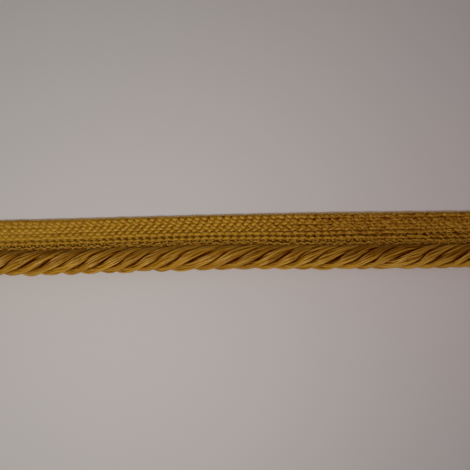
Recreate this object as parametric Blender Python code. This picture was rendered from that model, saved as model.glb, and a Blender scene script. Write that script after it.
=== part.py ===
# Flanged piping cord: a cut length of twisted upholstery cord with a knitted sewing tape
# along one side and a row of binding stitches that holds the two together.
# Metres, +Z up. The cord runs along X and the tape lies on its +Y side.
# The origin is at the middle of the length and of the overall width, on the surface below.

import bisect
import math

import bmesh
import bpy
from mathutils import Vector

MM = 0.001

# Driving dimensions of the cord
LENGTH = 180.0 * MM              # cut length
CORD_RADIUS = 3.95 * MM          # over the crests of the strands
STRANDS = 6                      # strands laid up in the cord
STRAND_SPACING = 6.05 * MM       # crest to crest along the cord
GROOVE_RADIUS = 3.0 * MM         # bottom of the groove between two strands
WIDE_SHARE = 1.1                 # every second strand is this much wider than the average
START_TURN = math.radians(120)   # turn of the strands at the middle of the length
FLAT_DEPTH = 0.2 * MM            # how far the underside is pressed flat by the surface it lies on
FLANK_ANGLE = math.radians(18)   # the flank that the binding presses flat, above the horizontal
FLANK_DISTANCE = 3.2 * MM        # from the cord's axis to that flank
AXIS_Y = -4.72 * MM              # the cord's axis, with the origin at the middle of the width

# Driving dimensions of the tape, across it from the cord's axis
TAPE_START = 4.6 * MM            # near edge, where it meets the cord
TAPE_EDGE = 12.7 * MM            # far edge
RIB_EDGES = (4.6 * MM, 6.45 * MM, 8.3 * MM, 10.3 * MM, 12.45 * MM)
RIB_HEIGHT = 0.25 * MM           # from the valley between two ribs to a rib's crest
TAPE_THICKNESS = 1.35 * MM
LIFT_START = 8.3 * MM            # it lies on the surface beyond this line
JOINT_LIFT = 1.6 * MM            # height of its underside where it meets the cord

# Driving dimensions of the binding row
COURSE_PITCH = 2.33 * MM         # one stitch
BAND_LENGTH = 2.6 * MM           # up the cord's flank
BAND_THICKNESS = 1.2 * MM
BAND_PINCH = 0.72                # size between two stitches, as a share of the full size
BAND_SLANT = 0.35 * MM           # how far a stitch leans along the cord
CLEARANCE = 0.3 * MM             # gap between separate pieces

# Steps
RINGS_PER_TURN = 18
POINTS_PER_STRAND = 6
STEPS_PER_RIB = 4
TAPE_STEP = 5.0 * MM
BAND_SIDES = 8

LEAD = STRANDS * STRAND_SPACING
AXIS_HEIGHT = CORD_RADIUS - FLAT_DEPTH

# How the piece lies: place along X, shift of the cord's axis along Y, and
# distance from that axis to the tape's far edge.
ROUTE = (
    (-90.0 * MM, 0.00 * MM, 12.80 * MM),
    (-60.0 * MM, 0.09 * MM, 12.80 * MM),
    (-30.0 * MM, 0.54 * MM, 12.65 * MM),
    (0.0 * MM, 0.65 * MM, 12.80 * MM),
    (30.0 * MM, 0.24 * MM, 13.30 * MM),
    (60.0 * MM, -0.15 * MM, 13.50 * MM),
    (90.0 * MM, 0.05 * MM, 13.10 * MM),
)

CORD_GOLD = (0.235, 0.105, 0.012, 1.0)
TAPE_GOLD = (0.262, 0.118, 0.012, 1.0)
BINDING_GOLD = (0.180, 0.080, 0.010, 1.0)


def along_route(x, column):
    """The ROUTE table's value at a place along X, on a smooth curve through its rows."""
    i = bisect.bisect_right([row[0] for row in ROUTE], x) - 1
    i = min(len(ROUTE) - 2, max(0, i))
    before, here, there, after = (ROUTE[min(len(ROUTE) - 1, max(0, i + k))] for k in (-1, 0, 1, 2))
    step = there[0] - here[0]
    slope_here = step * (there[column] - before[column]) / (there[0] - before[0])
    slope_there = step * (after[column] - here[column]) / (after[0] - here[0])
    t = (x - here[0]) / step
    return (
        (2 * t**3 - 3 * t**2 + 1) * here[column]
        + (t**3 - 2 * t**2 + t) * slope_here
        + (3 * t**2 - 2 * t**3) * there[column]
        + (t**3 - t**2) * slope_there
    )


def axis_y(x):
    return AXIS_Y + along_route(x, 1)


def cord_outline():
    """The cord's section: round lobes, wide and narrow in turn, with grooves between them."""
    points, start = [], 0.0
    for strand in range(STRANDS):
        share = WIDE_SHARE if strand % 2 == 0 else 2 - WIDE_SHARE
        half = share * math.pi / STRANDS
        drop = CORD_RADIUS - GROOVE_RADIUS * math.cos(half)
        side = GROOVE_RADIUS * math.sin(half)
        lobe = (side * side + drop * drop) / (2 * drop)
        centre = CORD_RADIUS - lobe
        for k in range(POINTS_PER_STRAND):
            off = half * (2 * k / POINTS_PER_STRAND - 1)
            reach = centre * math.cos(off) + math.sqrt(lobe**2 - (centre * math.sin(off)) ** 2)
            angle = start + half + off
            points.append((reach * math.cos(angle), reach * math.sin(angle)))
        start += 2 * half
    return points


def tape_lift(y):
    """Height of the tape's underside, and its slope, at a distance from the cord's axis."""
    bend = JOINT_LIFT / (LIFT_START - TAPE_START) ** 2
    inside = max(0.0, LIFT_START - y)
    return bend * inside**2, 2 * bend * inside


def tape_outline():
    """The tape's section: ribs on top, a plain underside, and a rounded far edge."""
    top = []
    for near, far in zip(RIB_EDGES, RIB_EDGES[1:]):
        for k in range(STEPS_PER_RIB):
            share = k / STEPS_PER_RIB
            y = near + (far - near) * share
            lift, slope = tape_lift(y)
            valley = RIB_HEIGHT * (1 - math.sin(math.pi * share))
            top.append((y, lift + (TAPE_THICKNESS - valley) * math.hypot(1, slope)))
    top.append((RIB_EDGES[-1], TAPE_THICKNESS - 1.5 * RIB_HEIGHT))
    top.append((TAPE_EDGE, TAPE_THICKNESS * 0.4))
    under = [(TAPE_EDGE - 0.15 * MM, 0.0)]
    count = 5
    for k in range(count):
        y = LIFT_START + (TAPE_START - 0.3 * MM - LIFT_START) * k / (count - 1)
        under.append((y, tape_lift(y)[0]))
    return top + under


def band_outline():
    """The binding row's section: a flat oval that stands up against the cord's flank."""
    points = []
    for k in range(BAND_SIDES):
        angle = 2 * math.pi * (k + 0.5) / BAND_SIDES
        outwards = BAND_THICKNESS / 2 * math.cos(angle) / math.cos(math.pi / BAND_SIDES)
        upwards = BAND_LENGTH / 2 * math.sin(angle)
        points.append(
            (
                outwards * math.cos(FLANK_ANGLE) - upwards * math.sin(FLANK_ANGLE),
                outwards * math.sin(FLANK_ANGLE) + upwards * math.cos(FLANK_ANGLE),
            )
        )
    return points


def fabric_material(name, colour, roughness):
    material = bpy.data.materials.new(name)
    material.use_nodes = True
    shader = material.node_tree.nodes["Principled BSDF"]
    shader.inputs["Base Color"].default_value = colour
    shader.inputs["Roughness"].default_value = roughness
    shader.inputs["Metallic"].default_value = 0.0
    shader.inputs["Sheen Weight"].default_value = 0.3
    return material


def section_curve(name, outline, helpers):
    """A flat closed curve that a path along X carries as its section, given as (Y, Z) points."""
    curve = bpy.data.curves.new(name, "CURVE")
    curve.dimensions = "2D"
    curve.fill_mode = "NONE"
    spline = curve.splines.new("POLY")
    spline.points.add(len(outline) - 1)
    for point, (y, z) in zip(spline.points, outline):
        point.co = (-y, z, 0.0, 1.0)
    spline.use_cyclic_u = True
    section = bpy.data.objects.new(name, curve)
    section.hide_render = True
    section.display_type = "WIRE"
    helpers.objects.link(section)
    return section


def swept_solid(name, section, stations, material, parts):
    """One closed mesh: the section carried along the X axis, by rows of (x, turn, size)."""
    curve = bpy.data.curves.new(name + "_path", "CURVE")
    curve.dimensions = "3D"
    curve.twist_mode = "Z_UP"
    curve.bevel_mode = "OBJECT"
    curve.bevel_object = section
    curve.use_fill_caps = True
    spline = curve.splines.new("POLY")
    spline.points.add(len(stations) - 1)
    for point, (x, turn, size) in zip(spline.points, stations):
        point.co = (x, 0.0, 0.0, 1.0)
        point.tilt = turn
        point.radius = size
    path = bpy.data.objects.new(name + "_path", curve)
    parts.objects.link(path)
    bpy.context.view_layer.update()
    graph = bpy.context.evaluated_depsgraph_get()
    mesh = bpy.data.meshes.new_from_object(path.evaluated_get(graph))
    solid = bpy.data.objects.new(name, mesh)
    solid.matrix_world = path.matrix_world
    parts.objects.link(solid)
    bpy.data.objects.remove(path)
    mesh.name = name
    mesh.materials.clear()
    mesh.materials.append(material)
    weld_caps(mesh)
    return solid


def weld_caps(mesh):
    """Joins the end caps to the sides and turns every face outwards."""
    bm = bmesh.new()
    bm.from_mesh(mesh)
    bmesh.ops.remove_doubles(bm, verts=bm.verts, dist=0.01 * MM)
    bmesh.ops.recalc_face_normals(bm, faces=bm.faces)
    bm.to_mesh(mesh)
    bm.free()


def stations_along(step):
    count = round(LENGTH / step)
    return [LENGTH * (i / count - 0.5) for i in range(count + 1)]


def build_cord(parts, helpers):
    """The twisted cord, pressed flat below and where the binding row holds it."""
    section = section_curve("cord_section", cord_outline(), helpers)
    material = fabric_material("gold_satin_strands", CORD_GOLD, 0.55)
    stations = [
        (x, START_TURN - 2 * math.pi * x / LEAD, 1.0)
        for x in stations_along(LEAD / RINGS_PER_TURN)
    ]
    cord = swept_solid("twisted_cord", section, stations, material, parts)
    out = Vector((0.0, math.cos(FLANK_ANGLE), math.sin(FLANK_ANGLE)))
    for vertex in cord.data.vertices:
        past = vertex.co.dot(out) - FLANK_DISTANCE
        if past > 0:
            vertex.co -= out * past
        vertex.co.y += axis_y(vertex.co.x)
        vertex.co.z = max(0.0, vertex.co.z + AXIS_HEIGHT)
    cord.data.shade_smooth()
    cord.data.set_sharp_from_angle(angle=math.radians(40))
    return cord


def build_tape(parts, helpers):
    """The ribbed tape, a little wider or narrower along its length."""
    section = section_curve("tape_section", tape_outline(), helpers)
    material = fabric_material("gold_knit", TAPE_GOLD, 0.8)
    stations = [(x, 0.0, 1.0) for x in stations_along(TAPE_STEP)]
    tape = swept_solid("sewing_tape", section, stations, material, parts)
    for vertex in tape.data.vertices:
        x, y, z = vertex.co
        if y > TAPE_START:
            spread = (along_route(x, 2) - TAPE_START) / (TAPE_EDGE - TAPE_START)
            y = TAPE_START + (y - TAPE_START) * spread
        vertex.co = (x, y + axis_y(x), max(0.0, z))
    return tape


def build_binding(parts, helpers):
    """The row of binding stitches, each a bead that leans along the cord."""
    section = section_curve("binding_section", band_outline(), helpers)
    material = fabric_material("gold_binding_yarn", BINDING_GOLD, 0.85)
    stations = [
        (x, 0.0, 1.0 if i % 2 else BAND_PINCH)
        for i, x in enumerate(stations_along(COURSE_PITCH / 2))
    ]
    binding = swept_solid("binding_stitches", section, stations, material, parts)
    reach = FLANK_DISTANCE + CLEARANCE + BAND_THICKNESS / 2
    for vertex in binding.data.vertices:
        x, y, z = vertex.co
        if abs(x) < LENGTH / 2 - 0.1 * MM:
            x += BAND_SLANT * z / (BAND_LENGTH / 2)
        y += reach * math.cos(FLANK_ANGLE) + axis_y(x)
        vertex.co = (x, y, z + reach * math.sin(FLANK_ANGLE) + AXIS_HEIGHT)
    return binding


def main():
    for obj in list(bpy.data.objects):
        bpy.data.objects.remove(obj, do_unlink=True)
    parts = bpy.data.collections.new("flanged_piping_cord")
    helpers = bpy.data.collections.new("sections")
    helpers.hide_render = True
    for collection in (parts, helpers):
        bpy.context.scene.collection.children.link(collection)
    build_cord(parts, helpers)
    build_tape(parts, helpers)
    build_binding(parts, helpers)


main()
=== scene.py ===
import math

import bpy
import numpy as np
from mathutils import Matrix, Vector


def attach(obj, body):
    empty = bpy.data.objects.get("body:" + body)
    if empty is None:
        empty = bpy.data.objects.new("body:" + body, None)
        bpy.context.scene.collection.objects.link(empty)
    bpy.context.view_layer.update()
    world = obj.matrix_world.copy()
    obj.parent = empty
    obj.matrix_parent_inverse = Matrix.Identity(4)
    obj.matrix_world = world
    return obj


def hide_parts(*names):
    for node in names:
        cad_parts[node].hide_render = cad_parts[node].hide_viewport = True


# Flanged piping cord in old gold satin viscose: twisted cord, knitted tape, binding stitches
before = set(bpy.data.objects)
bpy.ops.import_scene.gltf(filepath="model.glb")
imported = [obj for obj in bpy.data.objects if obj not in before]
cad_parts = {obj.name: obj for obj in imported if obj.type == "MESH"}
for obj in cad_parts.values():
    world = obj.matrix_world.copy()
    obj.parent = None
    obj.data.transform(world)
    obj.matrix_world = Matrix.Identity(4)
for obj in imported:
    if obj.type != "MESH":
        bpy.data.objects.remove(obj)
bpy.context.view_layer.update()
bpy.ops.object.select_all(action="DESELECT")
print("CAD frame loaded")

mm = 0.001  # sizes below are in millimetres, unless a note says otherwise

# How the piece lies, as in the CAD source: place along X, shift of the cord's axis,
# and distance from that axis to the tape's free edge
lie = {
    "length": 180.0,
    "axisY": -4.72,
    "axisHeight": 3.75,
    "place": (-90, -60, -30, 0, 30, 60, 90),
    "shift": (0.00, 0.09, 0.54, 0.65, 0.24, -0.15, 0.05),
    "reach": (12.80, 12.80, 12.65, 12.80, 13.30, 13.50, 13.10),
}
halfLength = lie["length"] / 2


def smoothRead(at, places, values):
    # reads a short table on a smooth curve through its rows
    places, values = np.asarray(places, float), np.asarray(values, float)
    at = np.asarray(at, float)
    i = np.clip(np.searchsorted(places, at, "right") - 1, 0, len(places) - 2)
    before, after = np.maximum(i - 1, 0), np.minimum(i + 2, len(places) - 1)
    step = places[i + 1] - places[i]
    leave = step * (values[i + 1] - values[before]) / (places[i + 1] - places[before])
    arrive = step * (values[after] - values[i]) / (places[after] - places[i])
    t = (at - places[i]) / step
    return (
        (2 * t**3 - 3 * t**2 + 1) * values[i]
        + (t**3 - 2 * t**2 + t) * leave
        + (3 * t**2 - 2 * t**3) * values[i + 1]
        + (t**3 - t**2) * arrive
    )


def axisY(x):
    return lie["axisY"] + smoothRead(x, lie["place"], lie["shift"])


def waver(at, size, waves, seed):
    # a slow, uneven drift along a piece, made of waves of these lengths
    turn = np.random.default_rng(seed).uniform(0, 2 * math.pi, len(waves))
    drift = sum(np.sin(2 * math.pi * at / w + t) for w, t in zip(waves, turn))
    return size * drift / math.sqrt(len(waves) / 2)


def linear(hexColour):
    # sRGB hex to the linear colour that a shader takes
    parts = [int(hexColour[i : i + 2], 16) / 255 for i in (0, 2, 4)]
    return [p / 12.92 if p <= 0.04045 else ((p + 0.055) / 1.055) ** 2.4 for p in parts] + [1.0]


def activate(piece):
    bpy.ops.object.select_all(action="DESELECT")
    piece.select_set(True)
    bpy.context.view_layer.objects.active = piece


# Camera, floor and light
view = {
    "height": 600.0,     # straight above the piece
    "across": 145.7,     # what the picture's width covers
    "level": 3.0,        # at this height above the floor
    "centre": (0.0, 2.47),
    "roll": -0.99,       # degrees
    "sensor": 36,
    "near": 0.01,        # metres
}
cameraData = bpy.data.cameras.new("camera")
camera = bpy.data.objects.new("camera", cameraData)
bpy.context.scene.collection.objects.link(camera)
cameraData.sensor_width = view["sensor"]
cameraData.lens = view["sensor"] * (view["height"] - view["level"]) / view["across"]
cameraData.clip_start = view["near"]
camera.location = (view["centre"][0] * mm, view["centre"][1] * mm, view["height"] * mm)
camera.rotation_euler = (0, 0, math.radians(view["roll"]))
bpy.context.scene.camera = camera

board = {"size": 3.0, "colour": "d2cdc9", "roughness": 0.9}  # the floor; its size is in metres
bpy.ops.mesh.primitive_plane_add(size=board["size"], location=(0, 0, 0))
floor = bpy.context.object
floor.name = "floor"

# A soft key lamp stands above the front left and aims left of the middle, so its light falls off to the
# right. A weak, warmer lamp above the right end gives that end its browner cast. Places are in metres
lamps = {
    "key": {
        "place": (-0.085, -0.155, 0.48),
        "aim": (-0.038, -0.014, 0),
        "size": 0.14,
        "power": 0.0864,
        "spread": 44,
        "colour": (1.0, 0.97, 0.945),
    },
    "warm": {
        "place": (0.16, -0.06, 0.45),
        "aim": (0.09, 0.0, 0),
        "size": 0.10,
        "power": 0.0046,
        "spread": 32,
        "colour": (1.0, 0.42, 0.72),
    },
}
room = {"colour": (1.0, 0.985, 0.99, 1), "strength": 0.19}  # even light from all round
for name, lamp in lamps.items():
    light = bpy.data.lights.new(name, "AREA")
    light.size, light.energy, light.color = lamp["size"], lamp["power"], lamp["colour"]
    light.spread = math.radians(lamp["spread"])
    holder = bpy.data.objects.new(name, light)
    holder.location = lamp["place"]
    towards = Vector(lamp["aim"]) - Vector(lamp["place"])
    holder.rotation_euler = towards.to_track_quat("-Z", "Y").to_euler()
    bpy.context.scene.collection.objects.link(holder)
world = bpy.data.worlds.new("studio")
bpy.context.scene.world = world
world.use_nodes = True
world.node_tree.nodes["Background"].inputs["Color"].default_value = room["colour"]
world.node_tree.nodes["Background"].inputs["Strength"].default_value = room["strength"]
bpy.context.scene.view_settings.view_transform = "Standard"
print("camera, floor and lamps placed")


# Materials
def addNode(tree, kind, settings=None, links=None):
    # one node, with its settings, and links given as {its input: the output that feeds it}
    node = tree.nodes.new(kind)
    for key, value in (settings or {}).items():
        if isinstance(key, int) or key in node.inputs:
            node.inputs[key].default_value = value
        else:
            setattr(node, key, value)
    for key, source in (links or {}).items():
        tree.links.new(source, node.inputs[key])
    return node


def newMaterial(name):
    material = bpy.data.materials.new(name)
    material.use_nodes = True
    return material, material.node_tree, material.node_tree.nodes["Principled BSDF"]


# Viscose filament yarn, loosely twisted and undressed: long unbroken filaments lie side by side,
# so it shines in streaks along the yarn. The streaks are drawn into its colour as well as its relief,
# partly the filaments' own tone and partly painted sheen, and its colour goes deep brown between the
# yarns, which is painted shade
satin = {
    "light": "c29024",
    "dark": "9e6a12",
    # the deep colour is painted shade
    "deep": "4c1500",          # between the yarns and in the bottom of a groove
    "sheen": "e6d392",
    "sheenLevel": 0.9,
    "sheenRange": (0.2, 0.6),  # it comes in between these shares of the way from deep to light
    "roughness": 0.36,
    "streaksAround": 16,       # filament bundles seen round one yarn, drawn as coarse as they need to show
    "streakLength": 6.0,       # mm
    "streakDepth": 0.33,       # how far the streaks go from dark to light
    "twistTurns": 0.08,        # turns of the filaments for each mm of yarn
    "toneShare": 0.55,         # how far a yarn's own tone counts beside its streaks
    "toneRange": (-0.2, 1.1),  # the two together give deep and light at these
    "relief": 0.06,            # mm
    "reliefStrength": 0.6,
}


def satinYarn(name, make, runLength):
    # runLength: how many mm of yarn the UV map of the piece runs along
    material, tree, shader = newMaterial(name)
    uv = addNode(tree, "ShaderNodeUVMap", {"uv_map": "UVMap"})
    parts = addNode(tree, "ShaderNodeSeparateXYZ", links={"Vector": uv.outputs[0]})
    along = addNode(tree, "ShaderNodeMath", {"operation": "MULTIPLY", 1: runLength}, {0: parts.outputs[0]})
    turned = addNode(tree, "ShaderNodeMath", {"operation": "MULTIPLY_ADD", 1: make["twistTurns"]},
                     {0: along.outputs[0], 2: parts.outputs[1]})
    around = addNode(tree, "ShaderNodeMath", {"operation": "MULTIPLY", 1: make["streaksAround"]},
                     {0: turned.outputs[0]})
    slow = addNode(tree, "ShaderNodeMath", {"operation": "DIVIDE", 1: make["streakLength"]},
                   {0: along.outputs[0]})
    tone = addNode(tree, "ShaderNodeAttribute", {"attribute_name": "tone"})
    place = addNode(tree, "ShaderNodeCombineXYZ",
                    links={0: slow.outputs[0], 1: around.outputs[0], 2: tone.outputs["Fac"]})
    streaks = addNode(tree, "ShaderNodeTexNoise", {"Scale": 1.0, "Detail": 3.0, "Roughness": 0.6},
                      {"Vector": place.outputs[0]})
    drawn = addNode(tree, "ShaderNodeMapRange",
                    {"From Min": 0.3, "From Max": 0.7, "To Min": 0.5 - make["streakDepth"],
                     "To Max": 0.5 + make["streakDepth"], "clamp": False},
                    {"Value": streaks.outputs["Fac"]})
    blend = addNode(tree, "ShaderNodeMath", {"operation": "MULTIPLY_ADD", 1: make["toneShare"]},
                    {0: tone.outputs["Fac"], 2: drawn.outputs[0]})
    share = addNode(tree, "ShaderNodeMapRange",
                    {"From Min": make["toneRange"][0], "From Max": make["toneRange"][1]},
                    {"Value": blend.outputs[0]})
    colour = addNode(tree, "ShaderNodeValToRGB", links={0: share.outputs[0]})
    stops = colour.color_ramp.elements
    stops.new(0.5)
    for stop, spot, part in zip(stops, (0.0, 0.5, 1.0), ("deep", "dark", "light")):
        stop.position, stop.color = spot, linear(make[part])
    tree.links.new(colour.outputs[0], shader.inputs["Base Color"])
    bump = addNode(tree, "ShaderNodeBump",
                   {"Strength": make["reliefStrength"], "Distance": make["relief"] * mm},
                   {"Height": streaks.outputs["Fac"]})
    tree.links.new(bump.outputs[0], shader.inputs["Normal"])
    shader.inputs["Roughness"].default_value = make["roughness"]
    # the specular level follows the share, so where painted shade darkens the colour it dims the shine too
    sheen = addNode(tree, "ShaderNodeMapRange",
                    {"From Min": make["sheenRange"][0], "From Max": make["sheenRange"][1],
                     "To Max": make["sheenLevel"]},
                    {"Value": share.outputs[0]})
    tree.links.new(sheen.outputs[0], shader.inputs["Specular IOR Level"])
    shader.inputs["Specular Tint"].default_value = linear(make["sheen"])
    return material


# Yarns
yarnSides = 6  # flats round each yarn, shaded smooth


def layYarns(name, runs, radius, tones):
    # runs: one array of points for each yarn, in mm; radius: a number or an array for each yarn. A curve
    # with a run for each yarn gets its thickness, becomes a mesh, and its cut ends are closed
    curve = bpy.data.curves.new(name, "CURVE")
    curve.dimensions = "3D"
    curve.twist_mode = "MINIMUM"
    curve.bevel_mode = "ROUND"
    curve.bevel_depth = mm
    curve.bevel_resolution = yarnSides // 2 - 2
    for points, thick in zip(runs, radius):
        spline = curve.splines.new("POLY")
        spline.points.add(len(points) - 1)
        spline.points.foreach_set("co", np.column_stack([points * mm, np.ones(len(points))]).ravel())
        spline.points.foreach_set("radius", np.broadcast_to(thick, len(points)).astype(np.float32))
    piece = bpy.data.objects.new(name, curve)
    bpy.context.scene.collection.objects.link(piece)
    activate(piece)
    bpy.ops.object.convert(target="MESH")
    piece = bpy.context.object
    values = np.concatenate([np.repeat(np.broadcast_to(tone, len(points)), yarnSides)
                             for points, tone in zip(runs, tones)])
    toneData = piece.data.attributes.new("tone", "FLOAT", "POINT").data
    toneData.foreach_set("value", values.astype(np.float32))
    bpy.ops.object.mode_set(mode="EDIT")
    bpy.ops.mesh.select_all(action="SELECT")
    bpy.ops.mesh.fill_holes(sides=0)
    bpy.ops.mesh.select_all(action="SELECT")
    bpy.ops.mesh.normals_make_consistent(inside=False)
    bpy.ops.object.mode_set(mode="OBJECT")
    bpy.ops.object.shade_smooth_by_angle(angle=math.radians(60))
    return piece


def pointsOf(piece):
    points = np.empty(len(piece.data.vertices) * 3, np.float32)
    piece.data.vertices.foreach_get("co", points)
    return points.reshape(-1, 3).astype(float) / mm


def movePoints(piece, points):
    piece.data.vertices.foreach_set("co", (points * mm).astype(np.float32).ravel())
    piece.data.update()


def apart(points):
    # drops each point that falls nearly on the one before it
    return points[np.append(True, np.linalg.norm(np.diff(points, axis=0), axis=1) > 0.02)]


# Twisted cord: six strands laid up in a Z twist, with a deep narrow groove between each two.
# A turn about its axis is in degrees: 0 faces the tape, 90 is on top and 180 is the cord's free side
cord = {
    "strands": 6,
    "lead": 36.4,            # one full turn of the cord
    # where each groove crosses the cord in front of and behind its middle line, in mm along X
    "front": (-72.2, -66.3, -60.5, -54.9, -48.1, -42.5, -36.6, -31.3, -25.7, -19.8, -14.6, -7.4,
              -1.2, 5.6, 12.1, 18.0, 23.3, 29.8, 36.3, 42.5, 47.4, 56.1, 60.8, 67.3),
    "behind": (-68.2, -61.4, -55.8, -49.6, -44.3, -37.8, -32.6, -27.3, -21.7, -15.8, -9.0, -3.1,
               4.0, 10.2, 16.4, 21.7, 27.9, 34.4, 40.9, 45.9, 53.6, 59.8, 65.1, 71.6),
    "frontTurn": 124.0,      # a groove's turn about the axis at those two places
    "behindTurn": 68.0,
    "middle": 2.84,          # a strand's own middle, from the cord's axis
    "deep": 0.80,            # from there to the middles of its outer yarns
    "wide": 1.15,            # half a strand's width, which spaces the yarns round it
    "square": 3.6,           # strands press each other into wedges with soft corners
    # how far a strand's face falls to its sides: behind, on top, at the free side and below
    "crown": {"turn": (65, 120, 175, 230), "fall": (0.26, 0.46, 0.85, 0.44)},
    # how far each strand's middle stands out at the free side, along X
    "bulge": {"place": (-90, -50, 0, 50, 90), "out": (0.50, 0.50, 0.42, 0.14, 0.16), "over": 17.0},
    "groove": 0.64,          # open width between two strands where it is widest
    "grooveClosed": 0.12,    # share of that width where it is closed
    "openAt": 109.0,         # the turn where it is widest, in front of the top
    "openOver": (23.0, 50.0),   # and how far behind and in front of there it stays open
    "yarns": 13,
    "yarnRadius": 0.335,
    "cores": ((-0.62, 0.62), (0.0, 0.80), (0.62, 0.62)),   # a strand's inside: place to the side, radius
    "coreOut": 0.75,         # how far out the cores' faces lie
    "coreFall": 0.35,        # and fall to the sides
    # thick soft yarns round one more, inside the strands; being straight, they need fewer points
    "filling": {"yarns": 6, "radius": 0.60, "ring": 1.15, "tone": 0.3, "every": 5},
    "unwind": 0.78,          # yarns turn back in the strand by this share of the cord's turn
    "flankAngle": 20.0,      # where the binding holds the cord back, above the horizontal
    "flankDistance": 3.35,
    "flankPress": 0.55,      # share by which it presses the yarns in past that distance
    "lowest": 0.25,          # the surface below flattens what lies lower than this
    "lowestOver": 0.5,
    "step": 1.2,
    "yarnRun": 217.0,        # length of one yarn in the cord
}
# how uneven the hand makes it: size of each drift, and its wave lengths in mm
cordDrift = {
    "strand": (0.05, (53, 27, 15)),      # a strand stands in or out
    "place": (0.017, (29, 15, 8)),       # a yarn moves round its strand, as a share of the way round
    "reach": (0.07, (23, 12, 7)),        # a yarn stands in or out
    "thickness": (0.05, (31, 14)),       # as a share of the yarn's own
}
cordSpread = {"place": 0.12, "reach": 0.05, "thickness": (0.84, 1.18), "tone": (0.1, 1)}


def grooveTurn(groove, x):
    places, turns = [], []
    for number in range(groove, len(cord["front"]), cord["strands"]):
        lap = 360 * (number // cord["strands"])
        places += [cord["front"][number], cord["behind"][number]]
        turns += [cord["frontTurn"] - lap, cord["behindTurn"] - lap]
    rate = 360 / cord["lead"]
    first, last = turns[0] + rate * (places[0] + 100), turns[-1] - rate * (100 - places[-1])
    return smoothRead(x, [-100] + places + [100], [first] + turns + [last])


def strandContour():
    # way round a strand's wedge, as shares of its depth and half width, at even steps
    t = np.linspace(0, 2 * math.pi, 721)
    power = 2 / cord["square"]
    out = np.sign(np.cos(t)) * np.abs(np.cos(t)) ** power
    side = np.sign(np.sin(t)) * np.abs(np.sin(t)) ** power
    steps = np.hypot(cord["deep"] * np.diff(out), cord["wide"] * np.diff(side))
    way = np.concatenate([[0], np.cumsum(steps)])
    return way / way[-1], out, side


def grooveHalf(turn):
    # from a groove's middle to the middles of the yarns beside it, as a turn about the axis
    off = (turn - cord["openAt"] + 180) % 360 - 180
    over = np.where(off < 0, *cord["openOver"])
    closed = cord["grooveClosed"]
    gap = cord["groove"] * (closed + (1 - closed) * np.exp(-((off / over) ** 2)))
    return np.degrees((cord["yarnRadius"] + gap / 2) / (cord["middle"] + cord["deep"]))


def cordRuns():
    x = np.linspace(-halfLength, halfLength, int(lie["length"] / cord["step"]) + 1)
    way, outward, sideways = strandContour()
    turns = [grooveTurn(k, x) for k in range(cord["strands"])]
    turns.append(turns[0] + 360)
    runs, sizes, tones = [], [], []
    dice = np.random.default_rng(11)
    for strand in range(cord["strands"]):
        near = turns[strand] + grooveHalf(turns[strand])
        far = turns[strand + 1] - grooveHalf(turns[strand + 1])
        middle, half = (near + far) / 2, (far - near) / 2
        swell = waver(x, *cordDrift["strand"], 200 + strand)
        for k in range(cord["yarns"] + len(cord["cores"])):
            core, seed = k >= cord["yarns"], 20 * strand + k
            place = (k + dice.uniform(-cordSpread["place"], cordSpread["place"])) / cord["yarns"]
            place = place + cord["unwind"] * x / cord["lead"]
            place = (place + waver(x, *cordDrift["place"], 1000 + seed)) % 1
            out, side = np.interp(place, way, outward), np.interp(place, way, sideways)
            fall = np.interp((middle + half * side) % 360, cord["crown"]["turn"], cord["crown"]["fall"])
            reach = cord["middle"] + swell + cord["deep"] * out - fall * side**2
            reach = reach + dice.normal(0, cordSpread["reach"]) + waver(x, *cordDrift["reach"], 2000 + seed)
            if core:
                side, fat = cord["cores"][k - cord["yarns"]]
                reach = cord["middle"] + cord["coreOut"] - fat - cord["coreFall"] * side**2
            off = (middle + half * side) % 360 - 180
            bulge = smoothRead(x, cord["bulge"]["place"], cord["bulge"]["out"])
            bulge = bulge * np.exp(-((off / cord["bulge"]["over"]) ** 2))
            reach = reach + bulge * (1 - side**4)
            turn = np.radians(middle + half * side)
            runs.append(np.column_stack([x, reach * np.cos(turn), reach * np.sin(turn)]))
            if core:
                sizes.append(fat * np.ones(len(x)))
                tones.append(0.0)
            else:
                thick = cord["yarnRadius"] * dice.uniform(*cordSpread["thickness"])
                sizes.append(thick * (1 + waver(x, *cordDrift["thickness"], 3000 + seed)))
                tones.append(dice.uniform(*cordSpread["tone"]))
    filling = cord["filling"]
    for k in range(filling["yarns"] + 1):
        ring, turn = (filling["ring"] if k else 0), 2 * math.pi * k / filling["yarns"]
        run = np.column_stack([x, 0 * x + ring * math.cos(turn), 0 * x + ring * math.sin(turn)])
        runs.append(run[:: filling["every"]])
        sizes.append(filling["radius"])
        tones.append(filling["tone"])
    return runs, sizes, tones


def pressCord(points):
    # flattened by the surface below and where the binding row pulls it in
    angle = math.radians(cord["flankAngle"])
    out = np.array([math.cos(angle), math.sin(angle)])
    past = points[:, 1:] @ out - cord["flankDistance"]
    points[:, 1:] -= np.where(past > 0, past * cord["flankPress"], 0)[:, None] * out
    points[:, 1] += axisY(points[:, 0])
    points[:, 2] += lie["axisHeight"]
    low = points[:, 2] < cord["lowest"]
    points[low, 2] = cord["lowest"] * np.exp((points[low, 2] - cord["lowest"]) / cord["lowestOver"])
    return points
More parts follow.
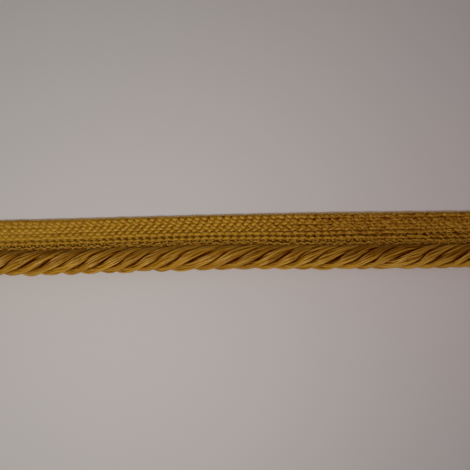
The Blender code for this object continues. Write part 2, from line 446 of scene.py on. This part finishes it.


# Painted light and shade in the yarns' tones over the cord, where y is across from its middle line, towards
# the tape
cordShade = {
    # deep in the grooves: distance from the axis where the shade begins and over which it grows
    "from": 3.60,
    "over": 0.7,
    "deep": 0.35,            # how much darker all of that is
    # and how much darker still, with more painted shade, a groove's middle is, within this turn; further
    # across at the right
    "groove": {"turn": 10, "y": (0.9, 2.6), "darker": (1.6, 0.2), "shift": 1.2},
    # painted light and shade all along the cord: paler at the free side, which faces the light, darker to
    # the binding, which shades it
    "across": {
        "y": (-4.0, -3.3, -2.4, -0.8, 0.6, 1.8, 2.5, 2.9, 3.3),
        "paler": (0.12, 0.32, 0.20, -0.26, -0.46, -0.50, -0.55, -0.40, 0.0),
    },
    # painted light and shade added to the right, in full past this X: paler at the free side, darker to the
    # binding;
    # the yarns also differ more there, about one tone, which makes their painted highlights and shade
    # stronger
    "right": {"full": 60, "y": (-3, -1, 0.6), "paler": (0.50, 0.08, -0.10), "contrast": 0.75, "about": 0.55},
    # painted shade added to the left towards the binding, growing over this much of X
    "left": {"over": 30, "y": (1.8, 2.5, 3.2), "paler": (0.0, -0.35, -0.55)},
}


def shadeCord(tone, x, y, z):
    turn = np.degrees(np.arctan2(z, y))
    grooves = [grooveTurn(k, x) for k in range(cord["strands"])]
    off = np.min([np.abs((turn - groove + 180) % 360 - 180) for groove in grooves], axis=0)
    deep = np.clip((cordShade["from"] - np.hypot(y, z)) / cordShade["over"], 0, 1)
    deep = deep * np.clip(halfLength - 0.1 - np.abs(x), 0, 1)  # the cut ends get the light
    more = cordShade["right"]
    right = np.clip(x / more["full"], 0, 1)
    paler = np.interp(y, more["y"], more["paler"])
    tone = tone + right * (more["contrast"] * (tone - more["about"]) + paler)
    groove = cordShade["groove"]
    darker = np.interp(y - groove["shift"] * right, groove["y"], groove["darker"])
    tone = tone - deep * (cordShade["deep"] + darker * np.exp(-((off / groove["turn"]) ** 2)))
    tone = tone + np.interp(y, cordShade["across"]["y"], cordShade["across"]["paler"])
    left = np.clip(-x / cordShade["left"]["over"] - 0.5, 0, 1)
    return tone + left * np.interp(y, cordShade["left"]["y"], cordShade["left"]["paler"])


runs, sizes, tones = cordRuns()
twistedCord = layYarns("twistedCord", runs, sizes, tones)
laid = pointsOf(twistedCord)
tone = np.empty(len(laid), np.float32)
# the painted light and shade go into the yarns' tones here
yarnTones = twistedCord.data.attributes["tone"].data
yarnTones.foreach_get("value", tone)
yarnTones.foreach_set("value", shadeCord(tone, *laid.T).astype(np.float32))
movePoints(twistedCord, pressCord(laid))
twistedCord.data.materials.append(satinYarn("viscoseCordYarn", satin, cord["yarnRun"]))
pathX = np.linspace(-halfLength, halfLength, 37)
cordPath = np.column_stack([pathX, axisY(pathX), np.full(len(pathX), lie["axisHeight"])]) * mm
print("twisted cord laid up:", len(twistedCord.data.polygons), "faces")

# Tape: cloth that lies flat, then climbs to the cord
tape = {
    # across from the cord's axis, and height of the cloth's middle
    "across": (12.55, 10.4, 8.4, 6.45, 5.6, 4.75, 4.3, 3.9, 3.55, 3.3),
    "height": (0.40, 0.48, 0.85, 1.65, 2.15, 2.85, 3.40, 4.05, 4.7, 5.10),
    "start": 4.6,        # outside this distance from the axis it is drawn out to its uneven free edge,
    "edge": 12.7,        # which would be here if it were even
    "cloth": 0.40,       # thickness of the knit's ground
    "inset": 0.40,       # how far in from the free edge the ground begins
    "trim": 1.45,        # how much narrower than the tape it is
    "cells": (240, 24),  # of its mesh, along and across
}
# one stitch along the tape: it was knitted a little looser towards the right
course = {"place": (-90, -54, -32, -8, 30, 60, 90), "length": (2.12, 2.20, 2.27, 2.32, 2.36, 2.39, 2.42)}
rough = np.concatenate([[0], np.cumsum(np.hypot(np.diff(tape["across"]), np.diff(tape["height"])))])
fineWidth = np.linspace(0, rough[-1], 400)
fineAcross = smoothRead(fineWidth, rough, tape["across"])
fineHeight = smoothRead(fineWidth, rough, tape["height"])
slopeA, slopeZ = np.gradient(fineAcross, fineWidth), np.gradient(fineHeight, fineWidth)
tapeWidth = float(rough[-1])
print("tape's flat width", round(tapeWidth, 2), "mm")

# where each course of the knit lies along X, to a little past both ends
past = halfLength + 2
courseX = [0.0]
while courseX[-1] < past:
    courseX.append(courseX[-1] + float(smoothRead(courseX[-1], course["place"], course["length"])))
while courseX[0] > -past:
    courseX.insert(0, courseX[0] - float(smoothRead(courseX[0], course["place"], course["length"])))
firstCourse = -courseX.index(0.0)
courseX = np.array(courseX)


def courseAt(number):
    return np.interp(number, np.arange(len(courseX)) + firstCourse, courseX)


def courseSteps(step):
    # even steps along the knit for a yarn that loops in it, in courses
    return np.arange(firstCourse + 2, firstCourse + len(courseX) - 2, step)


def spreadAt(x):
    return (smoothRead(x, lie["place"], lie["reach"]) - tape["start"]) / (tape["edge"] - tape["start"])


def wideAt(x, distance, above):
    # the way across the cloth from its free edge to a point this far from the cord's axis, above the cloth
    wide = 0 * distance
    for again in range(3):
        lean = np.interp(wide, fineWidth, slopeZ / np.hypot(slopeA, slopeZ))
        d = distance - above * lean
        a = np.where(d > tape["start"], tape["start"] + (d - tape["start"]) / spreadAt(x), d)
        wide = np.interp(a, fineAcross[::-1], fineWidth[::-1]) - np.maximum(a - tape["across"][0], 0)
    return wide


def onTape(points):
    # points as (along X, across from the free edge, above the cloth's middle) to where they lie
    x, wide, high = points.T
    inside = np.clip(wide, 0, tapeWidth)
    a = np.interp(inside, fineWidth, fineAcross) + (inside - wide)
    z = np.interp(inside, fineWidth, fineHeight)
    da, dz = np.interp(inside, fineWidth, slopeA), np.interp(inside, fineWidth, slopeZ)
    size = np.hypot(da, dz)
    a, z = a + high * dz / size, z - high * da / size
    a = np.where(a > tape["start"], tape["start"] + (a - tape["start"]) * spreadAt(x), a)
    return np.column_stack([x, a + axisY(x), np.maximum(z, 0.02)])


bpy.ops.mesh.primitive_grid_add(x_subdivisions=tape["cells"][0], y_subdivisions=tape["cells"][1], size=1,
                                location=(0, 0, 0))
tapeGround = bpy.context.object
tapeGround.name = "tapeGround"
flat = pointsOf(tapeGround) * mm
wide = (0.5 - flat[:, 1]) * (tapeWidth - tape["trim"]) + tape["inset"]
movePoints(tapeGround, onTape(np.column_stack([flat[:, 0] * lie["length"], wide, 0 * wide])))
activate(tapeGround)
solidify = tapeGround.modifiers.new("cloth", "SOLIDIFY")
solidify.thickness, solidify.offset = tape["cloth"] * mm, 0
bpy.ops.object.modifier_apply(modifier="cloth")
bpy.ops.object.shade_smooth_by_angle(angle=math.radians(50))

# The knit's wrong side, in the same viscose: curved bars that lie close and catch little light, so it looks
# dull and ribbed in the gaps and from below. That dullness is painted shade: its colours are darker than the
# knit's and darkest between the bars. The bars are half a course apart
wrongSide = {
    "light": "bc7c1c",
    "dark": "844a08",
    "bar": 1.16,
    "wale": 1.75,        # one wave of the bars across the tape
    "curl": 1.5,         # how far they curve
    "relief": 0.2,
    "reliefStrength": 0.8,
    "roughness": 0.7,
    "sheenLevel": 0.15,
}
groundYarn, tree, shader = newMaterial("viscoseKnitWrongSide")
acrossTurns = 2 * math.pi * tapeWidth / wrongSide["wale"]
alongTurns = 2 * math.pi * lie["length"] / wrongSide["bar"]
uv = addNode(tree, "ShaderNodeUVMap", {"uv_map": "UVMap"})
parts = addNode(tree, "ShaderNodeSeparateXYZ", links={"Vector": uv.outputs[0]})
across = addNode(tree, "ShaderNodeMath", {"operation": "MULTIPLY", 1: acrossTurns}, {0: parts.outputs[1]})
curl = addNode(tree, "ShaderNodeMath", {"operation": "SINE"}, {0: across.outputs[0]})
along = addNode(tree, "ShaderNodeMath", {"operation": "MULTIPLY", 1: alongTurns}, {0: parts.outputs[0]})
bars = addNode(tree, "ShaderNodeMath", {"operation": "MULTIPLY_ADD", 1: wrongSide["curl"]},
               {0: curl.outputs[0], 2: along.outputs[0]})
height = addNode(tree, "ShaderNodeMath", {"operation": "SINE"}, {0: bars.outputs[0]})
share = addNode(tree, "ShaderNodeMapRange", {"From Min": -1.0}, {"Value": height.outputs[0]})
colour = addNode(tree, "ShaderNodeValToRGB", links={0: share.outputs[0]})
for stop, part in zip(colour.color_ramp.elements, ("dark", "light")):
    stop.color = linear(wrongSide[part])
tree.links.new(colour.outputs[0], shader.inputs["Base Color"])
bump = addNode(tree, "ShaderNodeBump",
               {"Strength": wrongSide["reliefStrength"], "Distance": wrongSide["relief"] * mm},
               {"Height": share.outputs[0]})
tree.links.new(bump.outputs[0], shader.inputs["Normal"])
shader.inputs["Roughness"].default_value = wrongSide["roughness"]
shader.inputs["Specular IOR Level"].default_value = wrongSide["sheenLevel"]
tapeGround.data.materials.append(groundYarn)
print("tape's ground laid")

# Stitches of the tape: one leg modelled and copied
legMake = {
    "segments": 8,
    "rings": 7,
    # 2 would be an egg: pressed by its neighbours, a leg is flatter on top and steeper at its sides
    "full": 3.0,
    "thick": 0.78,
    "pitch": 9,          # degrees that one end stands up
    "bow": 0.14,         # how its ends bend down
    "buried": -0.14,     # its underside stays inside the ground, at this height
    # painted shade on a leg's sides and tips, which dip under its neighbours:
    "shadeBelow": 0.35,   # its sides grow darker below this height, where its top is 0.5
    "run": 2.9,          # yarn in one leg
}
bpy.ops.mesh.primitive_uv_sphere_add(segments=legMake["segments"], ring_count=legMake["rings"], radius=0.5,
                                     rotation=(0, math.radians(90), 0))
leg = bpy.context.object
leg.name = "leg"
bpy.ops.object.transform_apply(location=False, rotation=True, scale=False)
legPoints = pointsOf(leg) * mm
full = legMake["full"]
section = (np.abs(legPoints[:, 1]) ** full + np.abs(legPoints[:, 2]) ** full + 1e-9) ** (1 / full)
size = (1 - np.minimum(np.abs(2 * legPoints[:, 0]), 1) ** full) ** (1 / full)
legPoints[:, 1:] *= (0.5 * size / np.maximum(section, 1e-3))[:, None]
legUv = np.empty(len(leg.data.loops) * 2, np.float32)
leg.data.uv_layers[0].data.foreach_get("uv", legUv)
# its faces come in another order each run, so they are sorted
legSorted = sorted(leg.data.polygons, key=lambda face: sorted(face.vertices))
legFaces = [tuple(face.vertices) for face in legSorted]
legCorners = np.concatenate([face.loop_indices for face in legSorted])
legUv = legUv.reshape(-1, 2)[legCorners, ::-1].copy()  # the first runs along the leg, as on the yarns
bpy.data.objects.remove(leg)


def layLegs(name, legs):
    # legs: (x, across, above, lean and pitch in degrees, length, width, height, tone, and how much painted
    # shade darkens its sides and tips, where it presses on the next ones)
    legs = np.array(legs)
    points = np.repeat(legPoints[None], len(legs), 0) * legs[:, None, 5:8]
    lean, pitch = -np.radians(legs[:, 3])[:, None], np.radians(legs[:, 4])[:, None]
    lx, ly, lz = points[..., 0], points[..., 1], points[..., 2]
    lz = lz - legMake["bow"] * lx**2
    lx, lz = lx * np.cos(pitch) - lz * np.sin(pitch), lx * np.sin(pitch) + lz * np.cos(pitch)
    px = lx * np.cos(lean) - ly * np.sin(lean) + legs[:, None, 0]
    py = lx * np.sin(lean) + ly * np.cos(lean) + legs[:, None, 1]
    high = np.maximum(lz + legs[:, None, 2], legMake["buried"])
    placed = onTape(np.stack([px, py, high], -1).reshape(-1, 3))
    count = len(legPoints)
    faces = [tuple(v + i * count for v in f) for i in range(len(legs)) for f in legFaces]
    mesh = bpy.data.meshes.new(name)
    mesh.from_pydata(placed * mm, [], faces)
    mesh.uv_layers.new(name="UVMap").data.foreach_set("uv", np.tile(legUv, (len(legs), 1)).ravel())
    tones = legs[:, 8:9] - legs[:, 9:10] * np.clip(1 - legPoints[:, 2] / legMake["shadeBelow"], 0, 1)
    toneData = mesh.attributes.new("tone", "FLOAT", "POINT").data
    toneData.foreach_set("value", tones.ravel().astype(np.float32))
    piece = bpy.data.objects.new(name, mesh)
    bpy.context.scene.collection.objects.link(piece)
    activate(piece)
    bpy.ops.object.shade_smooth()
    return piece


# The tape's rows of stitch legs, from its free edge to the cord, read at eight places along X.
# distance: from the cord's axis; late: place in the course; lean: degrees, rising to the right;
# above: height above the cloth's middle; paler: how much paler the row is at the three places of paleAt,
# partly painted light that lifts the rows next to the cord out of the cord's shade
rowPlaces = (-65, -50, -31, -14, 2, 18, 38, 60)
paleAt = (-55, 5, 45)
stitchRows = {
    "first": {
        "distance": (11.75, 11.60, 11.70, 11.70, 11.90, 12.15, 12.30, 12.50),
        "late": (0.70, 0.85, 0.89, 0.95, 1.04, 1.25, 1.10, 0.85),
        "lean": (-16, -14, -10, -12, -12, -16, -22, -8),
        "length": (2.7, 2.3, 2.0, 1.95, 1.95, 2.0, 1.9, 2.2),
        "width": (1.55, 1.40, 1.30, 1.28, 1.28, 1.20, 1.05, 1.10),
        "above": 0.24,
        "paler": (0.0, 0.0, -0.12),
    },
    "second": {
        "distance": (11.00, 10.85, 10.80, 10.80, 10.90, 10.95, 11.30, 11.45),
        "late": (0.60, 0.50, 0.58, 0.70, 0.80, 1.00, 1.10, 1.40),
        "lean": (-22, -26, -28, -22, -17, -17, -20, -18),
        "length": (2.7, 2.6, 2.4, 2.4, 2.2, 2.1, 2.0, 2.0),
        "width": (1.40, 1.25, 1.20, 1.20, 1.15, 1.15, 1.05, 1.05),
        "above": 0.40,
        "paler": (0.0, 0.0, -0.28),
    },
    "third": {
        "distance": (9.75, 9.65, 9.75, 9.80, 9.90, 10.15, 10.40, 10.55),
        "late": (0.20, 0.28, 0.30, 0.40, 0.50, 0.65, 0.60, 0.70),
        "lean": (8, 20, 34, 22, 26, 8, -12, -12),
        "length": (2.8, 2.6, 2.2, 2.1, 2.0, 2.0, 1.9, 2.0),
        "width": (1.45, 1.30, 1.22, 1.30, 1.30, 1.20, 1.05, 1.05),
        "above": 0.40,
        "paler": (0.0, 0.0, -0.18),
    },
    "fourth": {
        "distance": (9.00, 9.00, 8.90, 8.95, 9.05, 9.10, 9.45, 9.65),
        "late": (0.75, 0.88, 0.90, 1.06, 1.10, 1.20, 1.20, 1.15),
        "lean": (0, 10, 12, -8, -38, -33, -32, -28),
        "length": (2.7, 2.6, 2.3, 2.3, 2.1, 2.2, 2.0, 2.0),
        "width": (1.50, 1.35, 1.32, 1.32, 1.12, 1.15, 1.00, 1.00),
        "above": 0.40,
        "paler": (0.0, 0.0, 0.08),
    },
    "fifth": {
        "distance": (7.95, 7.85, 7.95, 8.10, 8.15, 8.20, 8.55, 8.75),
        "late": (0.35, 0.42, 0.48, 0.60, 0.72, 0.75, 1.00, 1.55),
        "lean": (6, 14, 28, 30, 30, 16, 10, 8),
        "length": (2.6, 2.4, 2.1, 2.0, 2.0, 1.9, 2.0, 2.0),
        "width": (1.50, 1.35, 1.20, 1.18, 1.15, 1.12, 1.12, 1.20),
        "above": 0.40,
        "paler": (0.0, 0.0, -0.08),
    },
    "band": {
        "distance": (7.20, 7.05, 7.00, 7.08, 7.06, 6.98, 7.18, 7.52),
        "late": (0.85, 0.88, 0.95, 1.00, 1.00, 0.95, 1.00, 1.00),
        "lean": (0, 0, -3, -3, -3, -3, -12, -20),
        "length": (3.2, 3.1, 3.0, 2.9, 2.9, 2.8, 2.6, 2.2),
        "width": (1.55, 1.40, 1.28, 1.20, 1.20, 1.12, 1.00, 1.10),
        "above": 0.45,
        "paler": (0.05, 0.05, 0.05),
    },
    "bridge": {
        "distance": (6.25, 6.20, 6.20, 6.30, 6.35, 6.30, 6.25, 6.55),
        "late": (0.78, 0.88, 0.82, 0.95, 1.02, 1.00, 1.00, 1.40),
        "lean": (-60, -60, -65, -75, -75, -75, -70, -40),
        "length": (1.8, 1.8, 1.7, 1.5, 1.5, 1.2, 1.2, 1.8),
        "width": (1.45, 1.25, 1.20, 0.90, 0.80, 0.60, 0.60, 0.80),
        "above": 0.42,
        "paler": (0.38, 0.25, -0.45),
    },
    "inner": {
        "distance": (5.52, 5.45, 5.35, 5.60, 5.60, 5.45, 5.60, 5.75),
        "late": (0.85, 1.05, 0.93, 0.95, 0.95, 1.00, 0.97, 1.05),
        "lean": (0, 0, 3, 0, 5, 0, -10, -35),
        "length": (2.3, 2.1, 2.4, 2.2, 2.3, 2.7, 2.0, 2.2),
        "width": (1.45, 1.25, 1.18, 1.20, 1.25, 1.20, 1.12, 1.00),
        "above": 0.78,
        "paler": (0.05, 0.52, 0.20),
    },
    "last": {
        "distance": (4.85, 4.85, 4.75, 4.85, 4.90, 4.80, 4.80, 4.60),
        "late": (0.95, 0.95, 0.88, 0.95, 1.10, 0.90, 1.00, 0.50),
        "lean": (-70, -70, -65, -70, -70, -65, -60, -35),
        "length": (1.2, 1.3, 1.5, 1.3, 1.4, 1.3, 1.3, 2.5),
        "width": (0.75, 0.75, 1.00, 0.75, 0.85, 1.05, 1.05, 0.95),
        "above": 0.60,
        "paler": (0.15, 0.25, 0.35),
    },
}
# along X: shade sets the knit's tone, which turns duller to the right, partly its own duller look and partly
# painted shade where the light falls off; the knit lies closer and less evenly there, and the loops behind
# it fill its gaps at both ends
shade = {"place": (-90, -20, 10, 40, 90), "tone": (0.42, 0.54, 0.46, -0.08, -0.13)}
packing = {"place": (-90, 10, 45, 90), "share": (0, 0, 1, 1)}
fill = {"place": (-90, -52, -25, 12, 45, 90), "share": (0.7, 0.6, 0, 0, 1, 1)}
# how uneven the legs are; in legPacked, close packing adds the second number to the first
legSpread = {"above": 0.04, "pitch": 2, "length": (0.94, 1.06), "size": (0.92, 1.08), "tone": 0.22}
legPacked = {"distance": (0.05, 0.03), "along": (0.06, 0.1), "lean": (4, 4), "tone": (1, 0.4)}
# how much darker a leg's sides are with painted shade, and by how much less where the gaps are filled or the
# knit is packed
legSideShade = {"loose": 1.25, "filled": 1.1, "packed": 0.5}
# the loops behind a row: how far they sink, and how much duller they are, painted shade for the gaps they
# lie in
behind = {"others": (0.26, 1.0), "bridge": (0.34, 1.35), "last": (0.34, 0.95)}
# half a course on from the legs, and how much higher and paler they are where they fill the gaps, which
# takes some of their painted shade off
loops = {"on": 1.15, "lift": 0.14, "paler": 0.6, "packedPaler": 0.3, "vary": 0.2, "edge": 0.4, "showAt": 0.3}
# single plies of a leg, where the knit lies closer; their paler tone is a painted highlight
plies = {
    "each": 2,
    "share": 0.75,       # of them that show where it is closest
    "along": 0.7,
    "across": 0.3,
    "above": 0.24,
    "lean": (-6, 10),    # from the leg's, and how much that varies
    "pitch": 4,
    "length": (1.0, 1.7),
    "width": 0.36,
    "thick": 0.40,
    "paler": (0.2, 1.2),
    "edge": 0.5,
}
# the same viscose as a doubled knitting yarn: shorter floats, so a broader and duller sheen
knit = dict(
    satin,
    light="cc9c24",
    dark="a06a0f",
    sheenLevel=0.72,
    roughness=0.38,
    streaksAround=9,
    streakLength=4.0,
    streakDepth=0.38,
    twistTurns=0.12,
    relief=0.12,
)


def rowAt(x, values):
    # reads a row's table, or the binding's, at this place along X
    return smoothRead(np.clip(x, -70, 66), rowPlaces, values)


legYarn = satinYarn("viscoseTapeYarn", knit, legMake["run"])
dice = np.random.default_rng(5)
legs, under, floats = [], [], []
for name, row in stitchRows.items():
    sink, duller = behind.get(name, behind["others"])
    for number in range(firstCourse, firstCourse + len(courseX)):
        x = float(courseAt(number + rowAt(courseAt(number), row["late"])))
        if abs(x) > halfLength - 1.3:
            continue
        packed, filled = (float(smoothRead(x, table["place"], table["share"])) for table in (packing, fill))
        loose = {kind: even + close * packed for kind, (even, close) in legPacked.items()}
        tone = smoothRead(x, shade["place"], shade["tone"]) + np.interp(x, paleAt, row["paler"])
        far = rowAt(x, row["distance"]) + dice.normal(0, loose["distance"])
        along = x + dice.normal(0, loose["along"])
        wide = wideAt(x, far, row["above"])
        high = row["above"] + dice.normal(0, legSpread["above"])
        turn = rowAt(x, row["lean"]) + dice.normal(0, loose["lean"])
        pitch = legMake["pitch"] + dice.normal(0, legSpread["pitch"])
        long = rowAt(x, row["length"]) * dice.uniform(*legSpread["length"])
        broad = rowAt(x, row["width"]) * dice.uniform(*legSpread["size"])
        thick = legMake["thick"] * dice.uniform(*legSpread["size"])
        own = tone + dice.uniform(-legSpread["tone"], legSpread["tone"]) * loose["tone"]
        # the leg's painted side shade
        edge = legSideShade["loose"] - legSideShade["filled"] * max(filled - packed, 0) - legSideShade["packed"] * packed
        legs.append((along, wide, high, turn, pitch, long, broad, thick, own, edge))
        # the loops behind them, seen in the gaps: deeper, and duller with painted shade
        if filled > loops["showAt"] or name not in behind:
            dull = tone - duller + (loops["packedPaler"] * packed + loops["paler"]) * filled
            dull = dull + dice.uniform(-loops["vary"], loops["vary"]) * (1 + packed)
            onward = min(along + loops["on"], halfLength - 1.6)
            under.append((onward, wide, high - sink + loops["lift"] * filled, -turn, pitch, long, broad,
                          thick, dull, loops["edge"]))
        # where the knit lies closer, single plies of each leg stand up as fine dashes, made pale with a
        # painted highlight
        for ply in range(plies["each"]):
            if dice.uniform() < plies["share"] * packed:
                floats.append((along + dice.uniform(-plies["along"], plies["along"]),
                               wide + dice.uniform(-plies["across"], plies["across"]),
                               high + plies["above"], turn + dice.normal(*plies["lean"]), plies["pitch"],
                               dice.uniform(*plies["length"]), plies["width"], plies["thick"],
                               own + dice.uniform(*plies["paler"]), plies["edge"]))
tapeStitches = layLegs("tapeStitches", legs + floats)
tapeStitches.data.materials.append(legYarn)
tapeLoops = layLegs("tapeLoops", under)
tapeLoops.data.materials.append(legYarn)
print("tape's stitches laid:", len(legs))

# Selvedge: the knit's own edge yarns, drawn along the free edge
selvedge = {
    # each yarn: in from the free edge, above the cloth's middle, radius and tone; the tones are high,
    # painted light on the shaded side of the free edge
    "yarns": ((0.44, -0.04, 0.26, 0.8), (0.60, 0.06, 0.30, 0.7)),
    "weave": 0.07,       # how far it goes in and out with each course
    "rise": 0.05,        # and up and down
    "drift": (0.04, (17, 9)),   # its slow drift: size and wave lengths
    "points": 480,
}
# and the laid-in yarn's small loops, where it turns back at the edge
edgeLoops = {
    "runs": 3,
    "each": 3,           # loops in a course
    "step": 0.034,       # courses
    "from": 0.16,        # in from the free edge
    "reach": 0.52,       # half a loop's length, across
    "curl": 0.16,
    "lift": 0.07,        # each run lies this much above the one before
    "rise": 0.06,
    "drift": (0.4, (13, 7, 4)),     # in the course, as a turn: size and wave lengths
    "growth": (0.10, (11, 6, 4)),   # of the loops, as a share
    "radius": 0.05,
    "tone": 1.0,
}
lastLoop = halfLength - 0.3  # no loop goes past this
runs, sizes, tones = [], [], []
for k, (wide, high, radius, tone) in enumerate(selvedge["yarns"]):
    x = np.linspace(-(halfLength - 0.4), halfLength - 0.4, selvedge["points"])
    late = 2 * math.pi * np.interp(x, courseX, np.arange(len(courseX)))
    wide = wide + selvedge["weave"] * np.sin(late + 2.0 * k) + waver(x, *selvedge["drift"], 600 + k)
    runs.append(onTape(np.column_stack([x, wide, high + selvedge["rise"] * np.cos(late)])))
    sizes.append(radius)
    tones.append(tone)
t = courseSteps(edgeLoops["step"])
middle = courseAt(t)
for k in range(edgeLoops["runs"]):
    angle = 2 * math.pi * (edgeLoops["each"] * t + k / edgeLoops["runs"])
    angle = angle + waver(middle, *edgeLoops["drift"], 700 + k)
    grow = 1 + waver(middle, *edgeLoops["growth"], 710 + k)
    x = np.clip(middle + edgeLoops["curl"] * np.sin(2 * angle), -lastLoop, lastLoop)
    wide = edgeLoops["from"] - edgeLoops["reach"] * grow * np.sin(angle)
    above = edgeLoops["lift"] * k + edgeLoops["rise"] * np.cos(angle)
    runs.append(apart(onTape(np.column_stack([x, wide, above]))))
    sizes.append(edgeLoops["radius"])
    tones.append(edgeLoops["tone"])
tapeSelvedge = layYarns("tapeSelvedge", runs, sizes, tones)
tapeSelvedge.data.materials.append(satinYarn("viscoseSelvedgeYarn", knit, lie["length"]))

# Binding stitches: curled loops that hold the cord's strands to the tape
binding = {
    "step": 0.05,        # courses
    # at the eight places of rowPlaces: distance from the cord's axis, and place in the course
    "across": (4.05, 3.95, 4.10, 4.30, 4.20, 3.90, 4.00, 4.05),
    "turn": (0.45, 0.55, 0.60, 0.64, 0.62, 0.65, 0.50, 0.50),
    # slow drifts, with their sizes and wave lengths: in the course, as a turn, for the first yarn and what
    # each next one adds; of the loops' size, as a share; of their height; and of the whole row across
    "drift": (0.45, 0.15, (17, 11, 6)),
    "growth": (0.35, (13, 7, 4)),
    "rise": (0.05, (8, 5)),
    "wander": (0.13, (19, 9, 5)),
    "duller": 0.5,       # how much duller its yarns get to the right
    "yarnRun": 400.0,    # length of one yarn
    # each yarn: aside, late and high are its place across, in the course and above the cloth's middle;
    # long, broad and sink are its loops' size along, across and down; over is its reach over the cord
    "yarns": (
        {"aside": 0.00, "late": 0.00, "high": 0.50, "long": 0.30, "broad": 0.36, "sink": 0.26,
         "radius": 0.17, "over": 0.0, "tone": 1.0},
        {"aside": -0.22, "late": 0.03, "high": 0.46, "long": 0.26, "broad": 0.30, "sink": 0.24,
         "radius": 0.11, "over": 0.0, "tone": 0.8},
        {"aside": -0.10, "late": 0.50, "high": 0.30, "long": 0.50, "broad": 0.26, "sink": 0.20,
         "radius": 0.08, "over": 0.0, "tone": -0.2},
        {"aside": -0.42, "late": 0.25, "high": 0.34, "long": 0.85, "broad": 0.46, "sink": 0.20,
         "radius": 0.085, "over": 0.40, "tone": 0.0},
    ),
}
# the same viscose, but loosely curled and roughed up by the needle, so paler on top and less shiny
bindingYarn = dict(satin, light="c89630", dark="865009", sheenLevel=0.7, roughness=0.5)
runs, sizes, tones = [], [], []
t = courseSteps(binding["step"])
middle = courseAt(t)
for k, yarn in enumerate(binding["yarns"]):
    turn = rowAt(middle, binding["turn"]) + yarn["late"]
    drift, more, waves = binding["drift"]
    angle = 2 * math.pi * (t - turn) + waver(middle, drift + more * k, waves, 800 + k)
    grow = 1 + waver(middle, *binding["growth"], 820 + k)
    x = np.clip(middle + yarn["long"] * grow * np.sin(angle), -lastLoop, lastLoop)
    above = yarn["high"] + yarn["sink"] * np.cos(angle) + waver(middle, *binding["rise"], 860 + k)
    far = rowAt(middle, binding["across"]) + yarn["aside"] + yarn["broad"] * grow * np.cos(angle)
    far = far + waver(middle, *binding["wander"], 840)
    points = onTape(np.column_stack([x, wideAt(x, far, above), above]))
    runs.append(apart(points + (0, -yarn["over"], 0.7 * yarn["over"])))
    sizes.append(yarn["radius"])
    tones.append(yarn["tone"] - binding["duller"] * np.clip(runs[-1][:, 0] / 40 - 0.5, 0, 1))
bindingStitches = layYarns("bindingStitches", runs, sizes, tones)
bindingStitches.data.materials.append(satinYarn("viscoseBindingYarn", bindingYarn, binding["yarnRun"]))
print("binding stitches laid:", len(bindingStitches.data.polygons), "faces")

# Matte painted board under the piece: it scatters light evenly, so only the fall of the light shows on it
floorPaint, tree, shader = newMaterial("matteBoard")
shader.inputs["Base Color"].default_value = linear(board["colour"])
shader.inputs["Roughness"].default_value = board["roughness"]
floor.data.materials.append(floorPaint)

# Each piece joins the root body, and the CAD part it stands in for is hidden
for piece, node, slot in (
    (twistedCord, "twisted_cord", "cord_yarn"),
    (tapeGround, "sewing_tape", "tape_knit"),
    (tapeStitches, None, "tape_knit"),
    (tapeLoops, None, "tape_knit"),
    (tapeSelvedge, None, "tape_knit"),
    (bindingStitches, "binding_stitches", "binding_yarn"),
):
    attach(piece, "root")
    if node:
        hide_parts(node)
